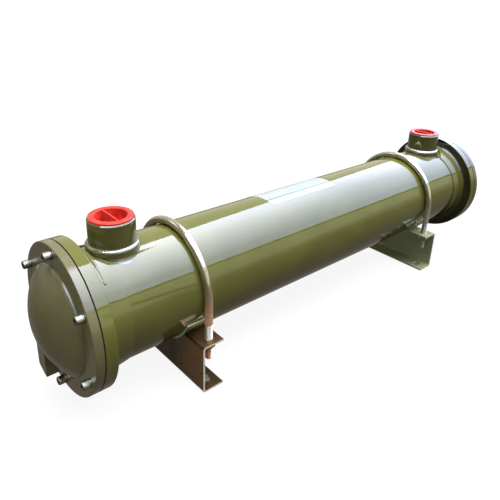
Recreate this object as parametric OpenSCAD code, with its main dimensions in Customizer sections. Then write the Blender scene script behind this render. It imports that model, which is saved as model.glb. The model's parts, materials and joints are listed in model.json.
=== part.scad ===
// Shell and tube oil cooler on two U-bolted sheet steel brackets.
// Millimetres, +Z up, +X along the shell axis towards the channel cover.
// The origin is at ground level under the middle of the shell.

/* [Shell] */
// Outside diameter of the shell tube
shell_od = 168; // [150:1:186]
// Wall thickness of the shell tube
shell_wall = 5; // [3:0.5:8]
// Length of the shell tube between the two gasket faces
shell_len = 904; // [800:2:1200]
// Height of the shell axis above the ground
axis_h = 140; // [130:1:180]

/* [End flanges] */
// Width of the shell flanges beyond the shell surface
flange_rim = 23; // [20:0.5:36]
// Size of the broken edge on flanges and covers
edge_break = 1; // [0.5:0.1:2]
// Thickness of each shell flange
flange_t = 17; // [14:0.5:24]
// Length of the tapered hub behind each flange
hub_len = 34; // [16:1:44]
// Thickness of the hub where its fillet starts
hub_rise = 4.5; // [2:0.5:6]
// Thickness of the hub at its thin end
hub_lip = 0.8; // [0.5:0.1:1.5]
// Fillet radius between the hub and the back of the flange
hub_fillet = 8; // [2:0.5:10]
// Thickness of the flat gasket
gasket_t = 1.6; // [1:0.1:4]
// Step from the flange edge in to the gasket edge
gasket_inset = 1; // [0.2:0.1:3]

/* [End covers] */
// Thickness of the cover flange
cover_t = 12; // [8:0.5:20]
// Step from the shell surface in to the foot of the dome
dome_step = 5.5; // [3:0.5:20]
// Height of the dome above the cover flange
dome_h = 32; // [24:0.5:50]
// Knuckle radius at the foot of the dome
dome_knuckle = 5; // [2:0.5:10]
// Wall thickness of the dome
dome_wall = 7; // [4:0.5:9]
// Width of the cast drain boss
drain_w = 25; // [12:1:30]
// Height of the drain boss above the cover flange
drain_t = 17; // [6:0.5:20]
// Sideways place of the drain boss from the shell axis
drain_y = 36.5; // [20:0.5:50]
// Step from the cover edge in to the drain boss end
drain_inset = 2.5; // [0.5:0.5:8]

/* [Cover screws] */
// Distance of the cover screws from the cover edge
screw_edge = 11; // [9:0.5:14]
// Thread diameter of the cover screws
screw_d = 6; // [5:1:8]
// Diameter of the cylindrical screw head
screw_head_d = 11.5; // [9:0.5:14]
// Height of the cylindrical screw head
screw_head_h = 9; // [5:0.5:10]
// Diameter of the washer under the screw head
screw_washer_d = 13; // [11:0.5:16]
// Thickness of the washer under the screw head
screw_washer_t = 1.6; // [1:0.1:3]
// Width across flats of the hexagon socket in the head
screw_key = 5; // [3:0.5:6]
// Depth of the hexagon socket in the head
screw_key_depth = 4; // [2:0.5:5]
// Depth of the screw thread in the shell flange
screw_reach = 13; // [8:0.5:13]
// Play between a screw and its clearance hole, on the diameter
screw_play = 1; // [0.4:0.1:2]
// Play between a screw and its tapped hole, on the diameter
tap_play = 0.4; // [0.2:0.1:0.6]
// Depth of a tapped hole beyond the screw end
tap_depth = 1; // [0.5:0.5:2]

/* [Oil sockets] */
// Distance of each oil socket from the gasket face at its end
port_inset = 70; // [64:1:140]
// Thread bore of the oil sockets
port_bore = 48; // [38:0.5:50]
// Wall thickness of the oil sockets
port_wall = 8; // [6:0.5:11]
// Height of the oil socket rim above the shell surface
port_rise = 42; // [25:1:80]
// Chamfer on the socket rim
port_chamfer = 1.5; // [0.5:0.5:3]
// Radius of the round weld bead at the foot of a socket
bead_r = 4.75; // [3:0.25:6]
// Height of the middle of the bead above the top of the shell
bead_rise = 3.75; // [1:0.25:6]
// Wall of the collar that is drawn out of the shell below the bead
collar_wall = 4; // [3:0.5:5]
// Radius of the flare from the collar onto the shell
flare_r = 11; // [8:0.5:16]
// Width of the flare
flare_w = 7.5; // [4:0.5:8]
// Depth of the upper edge of the flare below the top of the shell
flare_drop = 1; // [0:0.5:3]

/* [Water sockets] */
// Gap between the two water sockets
water_gap = 10; // [4:0.5:16]
// Thread bore of the water sockets
water_bore = 42; // [32:0.5:44]
// Wall thickness of the water sockets
water_wall = 8; // [6:0.5:10]
// Height of the water socket rim above the cover flange
water_rise = 46; // [36:1:70]

/* [Plugs] */
// Step from the socket edge in to the plug rim
plug_inset = 1.5; // [1:0.5:4]
// Thickness of the plug rim
plug_rim_t = 3; // [1.5:0.5:6]
// Depth of the plug below the socket rim
plug_depth = 18; // [8:1:24]
// Wall thickness of the plug cup
plug_wall = 1.8; // [1.2:0.1:4]
// Thickness of the wall across the plug cup
plug_web = 2.2; // [1.5:0.1:4]
// Step from the plug rim down to the wall across the cup
plug_web_drop = 1; // [0:0.5:6]
// Play between a plug and its bore, on the diameter
plug_play = 0.4; // [0.2:0.1:1]

/* [Brackets] */
// Distance of each bracket web from the gasket face at its end
bracket_inset = 144; // [125:1:240]
// Step from the U-bolt leg out to the end of the bracket
bracket_margin = 15.7; // [12:0.1:40]
// Height of the bracket tabs above the ground
bracket_h = 80; // [60:1:90]
// Sheet thickness of the brackets
bracket_t = 3; // [2:0.5:5]
// Depth of the foot and the tabs along the shell
bracket_depth = 36.5; // [32:0.5:60]
// Outer bend radius of the bracket sheet
bracket_bend = 5; // [4:0.5:6]
// Diameter of the foot holes
foot_hole_d = 15; // [9:0.5:17]
// Distance of the foot holes from the end of the bracket
foot_hole_edge = 21; // [14:0.5:40]
// Distance of the foot holes from the back of the web
foot_hole_set = 20; // [16:0.5:24]

/* [Saddles] */
// Thickness of the curved saddle strip
saddle_t = 3; // [2:0.5:5]
// Overhang of the saddle strip outside the bracket web
saddle_out = 8; // [0:1:20]
// Angle below the horizontal at which the saddle ends
saddle_end = 23; // [18:1:36]

/* [U-bolts] */
// Rod diameter of the U-bolts
ubolt_d = 12; // [8:1:14]
// Gap between the U-bolt and the shell surface
ubolt_gap = 0.3; // [0.2:0.1:2]
// Distance of the U-bolt from the back of the web
ubolt_set = 21; // [18:0.5:24]
// Length of the U-bolt leg below the bracket tab
ubolt_tail = 32; // [18:1:50]
// Play between a U-bolt leg and its tab hole, on the diameter
ubolt_play = 1.5; // [0.5:0.1:3]
// Width across flats of the U-bolt nuts
nut_af = 18; // [16:0.5:22]
// Height of the U-bolt nuts
nut_h = 10; // [6:0.5:14]
// Play between a nut and its leg, on the diameter
nut_play = 0.4; // [0.2:0.1:0.8]
// Chamfer on the nut corners and the ends of the legs
nut_chamfer = 1.2; // [0.5:0.1:2]

/* [View] */
// Piece to show by itself, or all of them

/* [Hidden] */
shell_r = shell_od / 2;
shell_ri = shell_r - shell_wall;
flange_r = shell_r + flange_rim;
face_x = shell_len / 2;
cover_x = face_x + gasket_t;
dome_x = cover_x + cover_t;
dome_r = shell_r - dome_step;
knuckle_r = dome_r - dome_knuckle;
crown_r = (knuckle_r * knuckle_r + dome_h * dome_h - dome_knuckle * dome_knuckle)
    / (2 * (dome_h - dome_knuckle));
crown_a = atan2(knuckle_r, crown_r - dome_h);
port_x = face_x - port_inset;
port_od = port_bore + 2 * port_wall;
water_od = water_bore + 2 * water_wall;
water_pitch = water_od + water_gap;
port_top = shell_r + port_rise;
screw_circle = flange_r - screw_edge;
collar_r = port_od / 2 + collar_wall;
saddle_r = shell_r + saddle_t;
bracket_x = face_x - bracket_inset;
ubolt_x = bracket_x - ubolt_set;
ubolt_r = shell_r + ubolt_gap + ubolt_d / 2;
bracket_w = 2 * (ubolt_r + bracket_margin);
foot_hole_y = bracket_w / 2 - foot_hole_edge;
foot_x = bracket_x - foot_hole_set;
hub_gap = 0.3;
over = 1;
screw_n = 6;
paint_c = [0.42, 0.44, 0.24];
gasket_c = [0.05, 0.05, 0.05];
screw_c = [0.70, 0.70, 0.68];
plug_c = [0.80, 0.12, 0.08];
sheet_c = [0.24, 0.20, 0.15];
zinc_c = [0.66, 0.60, 0.46];
$fn = 96;

// Puts a shape made about the Z axis onto the shell axis, looking outwards at one end.
module at_end(side) {
    translate([0, 0, axis_h])
        rotate([0, side * 90, 0])
            children();
}

// Turns one child to each place on the screw circle, in the frame of at_end.
module on_screw(k) {
    rotate([0, 0, 360 / screw_n * k])
        translate([screw_circle, 0, 0])
            children();
}

// A lying rod about the shell axis, from x0 to x1.
module axis_rod(r, x0, x1) {
    translate([x0, 0, axis_h])
        rotate([0, 90, 0])
            cylinder(r = r, h = x1 - x0);
}

module shell_tube() {
    color(paint_c)
    difference() {
        axis_rod(shell_r, -face_x, face_x);
        axis_rod(shell_ri, -face_x - over, face_x + over);
        for (x = [-port_x, port_x])
            translate([x, 0, axis_h])
                cylinder(d = port_bore, h = shell_r + over);
    }
}

// Half section of a shell flange with its tapered hub, base on the gasket face.
module flange_section() {
    hub_r = shell_r + hub_rise;
    difference() {
        polygon([
            [shell_r, 0],
            [flange_r, 0],
            [flange_r, edge_break - flange_t],
            [flange_r - edge_break, -flange_t],
            [hub_r + hub_fillet, -flange_t],
            [hub_r + hub_fillet, -flange_t - hub_fillet],
            [hub_r, -flange_t - hub_fillet],
            [shell_r + hub_lip, -flange_t - hub_len],
            [shell_r, -flange_t - hub_len]
        ]);
        translate([hub_r + hub_fillet, -flange_t - hub_fillet])
            circle(r = hub_fillet);
    }
}

module end_flange(side) {
    color(paint_c)
    difference() {
        at_end(side)
            translate([0, 0, face_x])
                rotate_extrude()
                    flange_section();
        at_end(side)
            for (k = [0 : screw_n - 1])
                on_screw(k)
                    translate([0, 0, face_x - screw_reach - tap_depth])
                        cylinder(d = screw_d + tap_play, h = screw_reach + tap_depth + over);
        translate([side * port_x, 0, axis_h])
            cylinder(r = collar_r + flare_w + hub_gap, h = flange_r);
    }
}

module end_gasket(side) {
    color(gasket_c)
    at_end(side)
        translate([0, 0, face_x])
            difference() {
                cylinder(r = flange_r - gasket_inset, h = gasket_t);
                translate([0, 0, -over])
                    cylinder(r = shell_ri, h = gasket_t + 2 * over);
                for (k = [0 : screw_n - 1])
                    on_screw(k)
                        translate([0, 0, -over])
                            cylinder(d = screw_d + screw_play, h = gasket_t + 2 * over);
            }
}

// Crown part of the dome half section.
module crown_section() {
    reach = crown_r + over;
    intersection() {
        translate([0, dome_h - crown_r])
            circle(r = crown_r, $fn = 180);
        polygon([
            [0, 0],
            [knuckle_r, 0],
            [reach * sin(crown_a), dome_h - crown_r + reach * cos(crown_a)],
            [reach * sin(crown_a), dome_h + over],
            [0, dome_h + over]
        ]);
    }
}

// Knuckle part of the dome half section.
module knuckle_section() {
    reach = 2 * dome_knuckle;
    intersection() {
        translate([knuckle_r, 0])
            circle(r = dome_knuckle);
        polygon([
            [knuckle_r, 0],
            [knuckle_r + reach, 0],
            [knuckle_r + reach, reach],
            [knuckle_r + reach * sin(crown_a), reach * cos(crown_a)]
        ]);
    }
}

// Solid of the dome with a short straight root below the cover face.
module dome_solid() {
    rotate_extrude() {
        crown_section();
        knuckle_section();
        translate([0, -over])
            square([dome_r, over]);
    }
}

// Hollow behind the dome: a bore through the cover that ends in a sphere even with the crown.
module dome_hollow() {
    rotate_extrude()
        intersection() {
            translate([0, dome_h - crown_r])
                circle(r = crown_r - dome_wall, $fn = 180);
            translate([0, -cover_t - over])
                square([dome_r - dome_wall, cover_t + over + dome_h]);
        }
}

// Outer body of a cover, with its face on the gasket at z = 0.
module cover_outer() {
    cylinder(r = flange_r, h = cover_t - edge_break);
    translate([0, 0, cover_t - edge_break])
        cylinder(r1 = flange_r, r2 = flange_r - edge_break, h = edge_break);
    translate([0, 0, cover_t])
        dome_solid();
}

module cover_holes() {
    translate([0, 0, cover_t])
        dome_hollow();
    for (k = [0 : screw_n - 1])
        on_screw(k)
            translate([0, 0, -over])
                cylinder(d = screw_d + screw_play, h = cover_t + 2 * over);
}

module return_cover() {
    color(paint_c)
    difference() {
        union() {
            at_end(-1)
                translate([0, 0, cover_x])
                    cover_outer();
            drain_at(-1);
        }
        at_end(-1)
            translate([0, 0, cover_x])
                cover_holes();
    }
}

// Drain boss in place, hanging below the dome on the rear half of a cover.
module drain_at(side) {
    translate([side * dome_x, 0, axis_h])
        rotate([0, side * 90, 0])
            intersection() {
                cylinder(r = flange_r - drain_inset, h = drain_t);
                translate([side > 0 ? 0 : -flange_r, drain_y - drain_w / 2, 0])
                    cube([flange_r, drain_w, drain_t]);
            }
}

module channel_cover() {
    color(paint_c)
    difference() {
        union() {
            at_end(1)
                translate([0, 0, cover_x])
                    cover_outer();
            drain_at(1);
            for (s = [-1, 1])
                translate([dome_x, 0, s * water_pitch / 2])
                    axis_rod(water_od / 2, 0, water_rise);
        }
        at_end(1)
            translate([0, 0, cover_x])
                cover_holes();
        for (s = [-1, 1])
            translate([dome_x, 0, s * water_pitch / 2])
                axis_rod(water_bore / 2, -cover_t, water_rise + over);
    }
}

// Socket head screw with its washer lying on the cover at z = 0.
module cover_screw(side, k) {
    color(screw_c)
    at_end(side)
        translate([0, 0, dome_x])
            on_screw(k)
                difference() {
                    union() {
                        cylinder(d = screw_washer_d, h = screw_washer_t);
                        cylinder(d = screw_head_d, h = screw_washer_t + screw_head_h);
                        translate([0, 0, -cover_t - gasket_t - screw_reach])
                            cylinder(d = screw_d, h = cover_t + gasket_t + screw_reach);
                    }
                    translate([0, 0, screw_washer_t + screw_head_h - screw_key_depth])
                        cylinder(d = screw_key / cos(30), h = screw_key_depth + over, $fn = 6);
                }
}

module oil_socket(side) {
    color(paint_c)
    difference() {
        translate([side * port_x, 0, axis_h])
            union() {
                cylinder(d = port_od, h = port_top - port_chamfer);
                translate([0, 0, port_top - port_chamfer])
                    cylinder(d1 = port_od, d2 = port_od - 2 * port_chamfer, h = port_chamfer);
            }
        axis_rod(shell_r, -face_x, face_x);
        translate([side * port_x, 0, axis_h])
            cylinder(d = port_bore, h = port_top + over);
    }
}

// Half section of the collar below a socket, flared out onto the shell, base on the shell axis.
module collar_section() {
    flare_z = shell_r - flare_drop;
    difference() {
        polygon([
            [port_od / 2 - over, 0],
            [collar_r + flare_w, 0],
            [collar_r + flare_w, flare_z],
            [collar_r, flare_z],
            [collar_r, shell_r + bead_rise],
            [port_od / 2 - over, shell_r + bead_rise]
        ]);
        translate([collar_r + flare_r, flare_z])
            circle(r = flare_r);
    }
}

// Collar that carries a socket, with the round weld bead between the two.
module oil_weld(side) {
    color(paint_c)
    difference() {
        translate([side * port_x, 0, axis_h])
            union() {
                rotate_extrude()
                    collar_section();
                rotate_extrude()
                    translate([port_od / 2, shell_r + bead_rise])
                        circle(r = bead_r);
            }
        axis_rod(shell_r, -face_x - over, face_x + over);
        translate([side * port_x, 0, axis_h])
            cylinder(d = port_od, h = port_top + over);
    }
}

// Threaded transport plug: cup with a rim that lies on the socket at z = 0.
module plug(socket_od, bore, wall_dir) {
    rim_r = socket_od / 2 - plug_inset;
    cup_r = (bore - plug_play) / 2;
    inner_r = cup_r - plug_wall;
    web_h = plug_depth + plug_rim_t - plug_web_drop;
    difference() {
        union() {
            cylinder(r = rim_r, h = plug_rim_t);
            translate([0, 0, -plug_depth])
                cylinder(r = cup_r, h = plug_depth);
        }
        difference() {
            translate([0, 0, plug_wall - plug_depth])
                cylinder(r = inner_r, h = plug_depth + plug_rim_t);
            rotate([0, 0, wall_dir])
                translate([-bore, -plug_web / 2, -plug_depth])
                    cube([2 * bore, plug_web, web_h]);
        }
    }
}

module oil_plug(side) {
    color(plug_c)
    translate([side * port_x, 0, axis_h + port_top])
        plug(port_od, port_bore, 90);
}

module water_plug(level) {
    color(plug_c)
    translate([dome_x + water_rise, 0, axis_h + level * water_pitch / 2])
        rotate([0, 90, 0])
            plug(water_od, water_bore, 90);
}

// Half of the bent corner of the sheet, as a quarter ring.
module bend_section() {
    intersection() {
        difference() {
            circle(r = bracket_bend);
            circle(r = bracket_bend - bracket_t);
        }
        translate([-bracket_bend, -bracket_bend])
            square(bracket_bend);
    }
}

// Section of the folded bracket: web at x = 0, foot and tab towards +x.
module channel_section() {
    translate([0, bracket_bend])
        square([bracket_t, bracket_h - 2 * bracket_bend]);
    translate([bracket_bend, 0])
        square([bracket_depth - bracket_bend, bracket_t]);
    translate([bracket_bend, bracket_h - bracket_t])
        square([bracket_depth - bracket_bend, bracket_t]);
    translate([bracket_bend, bracket_bend])
        bend_section();
    translate([bracket_bend, bracket_h - bracket_bend])
        mirror([0, 1])
            bend_section();
}

module bracket_body() {
    difference() {
        translate([-bracket_x, bracket_w / 2, 0])
            rotate([90, 0, 0])
                linear_extrude(bracket_w)
                    channel_section();
        axis_rod(saddle_r, -face_x, 0);
        for (s = [-1, 1]) {
            translate([-foot_x, s * foot_hole_y, -over])
                cylinder(d = foot_hole_d, h = bracket_t + 2 * over);
            translate([-ubolt_x, s * ubolt_r, bracket_h - bracket_t - over])
                cylinder(d = ubolt_d + ubolt_play, h = bracket_t + 2 * over);
        }
    }
}

module bracket(side) {
    color(sheet_c)
    mirror([side > 0 ? 1 : 0, 0, 0])
        bracket_body();
}

// Curved strip between the shell and the bracket, flush with the free edge of the tabs.
module saddle(side) {
    saddle_w = bracket_depth + saddle_out;
    x0 = side > 0 ? bracket_x - bracket_depth : -bracket_x - saddle_out;
    drop = saddle_r * sin(saddle_end);
    color(sheet_c)
    difference() {
        axis_rod(saddle_r, x0, x0 + saddle_w);
        axis_rod(shell_r, x0 - over, x0 + saddle_w + over);
        translate([x0 - over, -2 * saddle_r, axis_h - drop])
            cube([saddle_w + 2 * over, 4 * saddle_r, 2 * saddle_r]);
    }
}

module u_bolt(side) {
    leg = axis_h - bracket_h + bracket_t + ubolt_tail;
    color(zinc_c)
    translate([side * ubolt_x, 0, axis_h]) {
        rotate([90, 0, 90])
            rotate_extrude(angle = 180)
                translate([ubolt_r, 0])
                    circle(d = ubolt_d);
        for (s = [-1, 1])
            translate([0, s * ubolt_r, -leg]) {
                cylinder(d1 = ubolt_d - 2 * nut_chamfer, d2 = ubolt_d, h = nut_chamfer);
                translate([0, 0, nut_chamfer])
                    cylinder(d = ubolt_d, h = leg - nut_chamfer);
            }
    }
}

// Turned outline that takes the corners off both ends of a nut.
module nut_turning() {
    corner_r = nut_af / cos(30) / 2;
    rise = nut_chamfer * tan(30);
    rotate_extrude()
        polygon([
            [0, 0],
            [corner_r - nut_chamfer, 0],
            [corner_r + nut_chamfer, 2 * rise],
            [corner_r + nut_chamfer, nut_h - 2 * rise],
            [corner_r - nut_chamfer, nut_h],
            [0, nut_h]
        ]);
}

module nut(side, s) {
    color(zinc_c)
    translate([side * ubolt_x, s * ubolt_r, bracket_h - bracket_t - nut_h])
        difference() {
            intersection() {
                cylinder(d = nut_af / cos(30), h = nut_h, $fn = 6);
                nut_turning();
            }
            translate([0, 0, -over])
                cylinder(d = ubolt_d + nut_play, h = nut_h + 2 * over);
        }
}

shell_tube();
end_flange(-1);  // return_flange
end_flange(1);  // channel_flange
end_gasket(-1);  // return_gasket
end_gasket(1);  // channel_gasket
return_cover();
channel_cover();
cover_screw(-1, 0);  // return_screw_1
cover_screw(-1, 1);  // return_screw_2
cover_screw(-1, 2);  // return_screw_3
cover_screw(-1, 3);  // return_screw_4
cover_screw(-1, 4);  // return_screw_5
cover_screw(-1, 5);  // return_screw_6
cover_screw(1, 0);  // channel_screw_1
cover_screw(1, 1);  // channel_screw_2
cover_screw(1, 2);  // channel_screw_3
cover_screw(1, 3);  // channel_screw_4
cover_screw(1, 4);  // channel_screw_5
cover_screw(1, 5);  // channel_screw_6
oil_socket(-1);  // oil_inlet_socket
oil_socket(1);  // oil_outlet_socket
oil_weld(-1);  // oil_inlet_weld
oil_weld(1);  // oil_outlet_weld
oil_plug(-1);  // oil_inlet_plug
oil_plug(1);  // oil_outlet_plug
water_plug(-1);  // water_inlet_plug
water_plug(1);  // water_outlet_plug
bracket(-1);  // return_bracket
bracket(1);  // channel_bracket
saddle(-1);  // return_saddle
saddle(1);  // channel_saddle
u_bolt(-1);  // return_u_bolt
u_bolt(1);  // channel_u_bolt
nut(-1, -1);  // return_nut_front
nut(-1, 1);  // return_nut_rear
nut(1, -1);  // channel_nut_front
nut(1, 1);  // channel_nut_rear
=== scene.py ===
"""Looks of a shell and tube oil cooler: painted shell, cast ends, plated brackets, studio and camera."""

import json
import logging
import math
from dataclasses import dataclass, field
from enum import Enum
from typing import Any, Callable, Iterable, Sequence

import bmesh
import bpy
from mathutils import Matrix, Vector

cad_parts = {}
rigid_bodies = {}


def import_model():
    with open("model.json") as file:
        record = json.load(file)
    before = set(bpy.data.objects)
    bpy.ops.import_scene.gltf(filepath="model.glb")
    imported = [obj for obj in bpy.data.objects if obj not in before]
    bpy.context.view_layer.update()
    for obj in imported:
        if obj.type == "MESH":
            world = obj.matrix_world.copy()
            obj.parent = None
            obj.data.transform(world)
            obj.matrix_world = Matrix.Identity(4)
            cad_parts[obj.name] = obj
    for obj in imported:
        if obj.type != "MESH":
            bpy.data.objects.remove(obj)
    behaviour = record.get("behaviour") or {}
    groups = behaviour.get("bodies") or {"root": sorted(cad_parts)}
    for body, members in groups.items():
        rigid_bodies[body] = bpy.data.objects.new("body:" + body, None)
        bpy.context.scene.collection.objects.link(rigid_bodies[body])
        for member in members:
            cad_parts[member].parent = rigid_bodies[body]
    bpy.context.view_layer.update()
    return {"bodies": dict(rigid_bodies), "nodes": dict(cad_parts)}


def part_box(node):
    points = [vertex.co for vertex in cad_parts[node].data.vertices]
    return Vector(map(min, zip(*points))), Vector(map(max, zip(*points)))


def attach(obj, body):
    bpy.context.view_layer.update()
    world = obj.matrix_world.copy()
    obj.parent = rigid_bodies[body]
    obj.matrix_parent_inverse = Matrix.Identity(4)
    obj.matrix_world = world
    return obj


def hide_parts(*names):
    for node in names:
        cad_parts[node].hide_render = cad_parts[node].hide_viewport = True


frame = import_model()

LOG = logging.getLogger("oil_cooler")
BODY = "root"
MM = 0.001
TURN = 2 * math.pi
MERGE_DISTANCE = 1e-6
SHARP_ANGLE = math.radians(32)
FLAT_ANGLE = math.radians(0.3)
EDGE_ANGLE = math.radians(40)
# Least part of a face's normal along one way, for it to look that way and to be a cut end of sheet
FACE_ON = 0.6
CUT_ON = 0.5

RGB = tuple[float, float, float]


class Named(Enum):
    """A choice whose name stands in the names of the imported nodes."""

    @property
    def label(self) -> str:
        """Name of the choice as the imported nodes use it."""
        return self.name.lower()


class End(Named):
    """The two ends of the cooler, with the sign of their side along X."""

    RETURN = -1
    CHANNEL = 1


class Port(Named):
    """The two pipe connections of each circuit, with the sign of their place."""

    INLET = -1
    OUTLET = 1


class Outward(Enum):
    """Directions in which a turned piece may look, with its turn about Y."""

    UP = 0.0
    LEFT = -math.pi / 2
    RIGHT = math.pi / 2

    def turn(self) -> Matrix:
        """Turns a piece made about +Z so that it looks this way."""
        return Matrix.Rotation(self.value, 4, "Y")


class NodeSheet:
    """Adds and joins nodes in one node tree."""

    def __init__(self, tree: bpy.types.NodeTree) -> None:
        """Keeps the tree that the nodes go into."""
        self.tree = tree

    def add(self, kind: str, **values: Any) -> bpy.types.Node:
        """Adds a node and sets its properties and free sockets.

        Args:
            kind: the node's type without the ShaderNode prefix.
            values: properties, or sockets with their spaces as underscores.

        Returns:
            The new node.
        """
        node = self.tree.nodes.new("ShaderNode" + kind)
        for key, value in values.items():
            if hasattr(node, key):
                setattr(node, key, value)
            else:
                node.inputs[key.replace("_", " ")].default_value = value
        return node

    def join(self, source: bpy.types.NodeSocket, target: bpy.types.NodeSocket) -> None:
        """Links one socket to another."""
        self.tree.links.new(source, target)

    def blend(self, mask: bpy.types.NodeSocket, low: Any, high: Any) -> bpy.types.NodeSocket:
        """Blends two colours by a mask.

        Args:
            mask: socket that runs from 0 to 1.
            low: colour, or the socket of one, where the mask is 0.
            high: colour, or the socket of one, where the mask is 1.

        Returns:
            The socket of the blended colour.
        """
        mix = self.add("Mix", data_type="RGBA", clamp_factor=True)
        factor, first, second = mix.inputs[0], mix.inputs[6], mix.inputs[7]
        self.join(mask, factor)
        for target, value in ((first, low), (second, high)):
            if isinstance(value, bpy.types.NodeSocket):
                self.join(value, target)
            else:
                target.default_value = (*value, 1.0)
        return mix.outputs[2]

    def spread(self, value: bpy.types.NodeSocket, source: Sequence[float],
               target: Sequence[float]) -> bpy.types.NodeSocket:
        """Maps a value from one range to another, without running past it.

        Args:
            value: socket to map.
            source: the lowest and highest value that come in.
            target: the values that these become.

        Returns:
            The socket of the mapped value.
        """
        node = self.add("MapRange", clamp=True, From_Min=source[0], From_Max=source[1],
                        To_Min=target[0], To_Max=target[1])
        self.join(value, node.inputs["Value"])
        return node.outputs["Result"]

    def math(self, operation: str, *values: Any) -> bpy.types.NodeSocket:
        """Combines values by one arithmetic operation.

        Args:
            operation: Blender's name of the operation.
            values: numbers or sockets, in order.

        Returns:
            The socket of the result.
        """
        node = self.add("Math", operation=operation)
        for target, value in zip(node.inputs, values):
            if isinstance(value, bpy.types.NodeSocket):
                self.join(value, target)
            else:
                target.default_value = value
        return node.outputs[0]

    def axes(self, kind: str = "Object") -> bpy.types.Node:
        """Splits a texture coordinate along its three axes.

        Args:
            kind: the coordinate's name.

        Returns:
            The node that puts out X, Y and Z.
        """
        place = self.add("TexCoord")
        split = self.add("SeparateXYZ")
        self.join(place.outputs[kind], split.inputs[0])
        return split

    def close(self, shader: bpy.types.Node, kind: str = "OutputMaterial") -> None:
        """Joins the last shader to the output of the tree.

        Args:
            shader: the shader's node.
            kind: the type of the output node.
        """
        leave = self.add(kind)
        self.join(shader.outputs[0], leave.inputs["Surface"])


class EffectGroups:
    """Shader node groups that several finishes share, each built once."""

    def __init__(self) -> None:
        """Starts with no group built."""
        self.built: dict[str, bpy.types.NodeTree] = {}

    def start(self, name: str, inputs: dict[str, float], outputs: Iterable[str]
              ) -> tuple[NodeSheet, bpy.types.Node, bpy.types.Node]:
        """Makes an empty group with value sockets.

        Args:
            name: the group's name.
            inputs: socket names and their values at first.
            outputs: names of the values that the group puts out.

        Returns:
            The group's node sheet, its input node and its output node.
        """
        tree = bpy.data.node_groups.new(name, "ShaderNodeTree")
        for label, value in inputs.items():
            socket = tree.interface.new_socket(name=label, in_out="INPUT", socket_type="NodeSocketFloat")
            socket.default_value = value
        for label in outputs:
            tree.interface.new_socket(name=label, in_out="OUTPUT", socket_type="NodeSocketFloat")
        sheet = NodeSheet(tree)
        entry = tree.nodes.new("NodeGroupInput")
        leave = tree.nodes.new("NodeGroupOutput")
        self.built[name] = tree
        return sheet, entry, leave

    def mottle(self) -> bpy.types.NodeTree:
        """Soft cloudy mask: input Scale, output Mask.

        Returns:
            The group.
        """
        if "mottle" not in self.built:
            sheet, entry, leave = self.start("mottle", {"Scale": 20.0}, ["Mask"])
            place = sheet.add("TexCoord")
            cloud = sheet.add("TexNoise", Detail=4.0, Roughness=0.55)
            sheet.join(place.outputs["Object"], cloud.inputs["Vector"])
            sheet.join(entry.outputs["Scale"], cloud.inputs["Scale"])
            sheet.join(sheet.spread(cloud.outputs["Fac"], (0.36, 0.64), (0, 1)), leave.inputs["Mask"])
        return self.built["mottle"]

    def peel(self) -> bpy.types.NodeTree:
        """Skin relief: inputs Scale and Coarse, output Height, of fine grain on a slow wave.

        Returns:
            The group.
        """
        if "peel" not in self.built:
            sheet, entry, leave = self.start("peel", {"Scale": 300.0, "Coarse": 0.4}, ["Height"])
            place = sheet.add("TexCoord")
            fine = sheet.add("TexNoise", Detail=2.0, Roughness=0.5)
            slow = sheet.add("TexNoise", Detail=1.0, Roughness=0.4)
            for noise, share in ((fine, 1.0), (slow, 0.08)):
                sheet.join(place.outputs["Object"], noise.inputs["Vector"])
                sheet.join(sheet.math("MULTIPLY", entry.outputs["Scale"], share), noise.inputs["Scale"])
            wave = sheet.math("MULTIPLY", slow.outputs["Fac"], entry.outputs["Coarse"])
            sheet.join(sheet.math("ADD", fine.outputs["Fac"], wave), leave.inputs["Height"])
        return self.built["peel"]

    def specks(self) -> bpy.types.NodeTree:
        """Scattered small spots: inputs Scale and Size, output Mask.

        Returns:
            The group.
        """
        if "specks" not in self.built:
            sheet, entry, leave = self.start("specks", {"Scale": 60.0, "Size": 0.1}, ["Mask"])
            place = sheet.add("TexCoord")
            cells = sheet.add("TexVoronoi", Randomness=1.0)
            chance = sheet.add("TexNoise", Detail=1.0)
            for node in (cells, chance):
                sheet.join(place.outputs["Object"], node.inputs["Vector"])
            sheet.join(entry.outputs["Scale"], cells.inputs["Scale"])
            sheet.join(sheet.math("MULTIPLY", entry.outputs["Scale"], 0.3), chance.inputs["Scale"])
            spot = sheet.math("LESS_THAN", cells.outputs["Distance"], entry.outputs["Size"])
            thin = sheet.spread(chance.outputs["Fac"], (0.56, 0.66), (0, 1))
            sheet.join(sheet.math("MULTIPLY", spot, thin), leave.inputs["Mask"])
        return self.built["specks"]

    def streaks(self) -> bpy.types.NodeTree:
        """Lines drawn out along Y: inputs Scale and Stretch, output Mask.

        Returns:
            The group.
        """
        if "streaks" not in self.built:
            sheet, entry, leave = self.start("streaks", {"Scale": 400.0, "Stretch": 0.05}, ["Mask"])
            split = sheet.axes()
            pull = sheet.add("CombineXYZ")
            lines = sheet.add("TexNoise", Detail=3.0, Roughness=0.6)
            sheet.join(split.outputs["X"], pull.inputs["X"])
            sheet.join(sheet.math("MULTIPLY", split.outputs["Y"], entry.outputs["Stretch"]), pull.inputs["Y"])
            sheet.join(split.outputs["Z"], pull.inputs["Z"])
            sheet.join(pull.outputs[0], lines.inputs["Vector"])
            sheet.join(entry.outputs["Scale"], lines.inputs["Scale"])
            sheet.join(sheet.spread(lines.outputs["Fac"], (0.35, 0.65), (0, 1)), leave.inputs["Mask"])
        return self.built["streaks"]


EFFECTS = EffectGroups()


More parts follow.
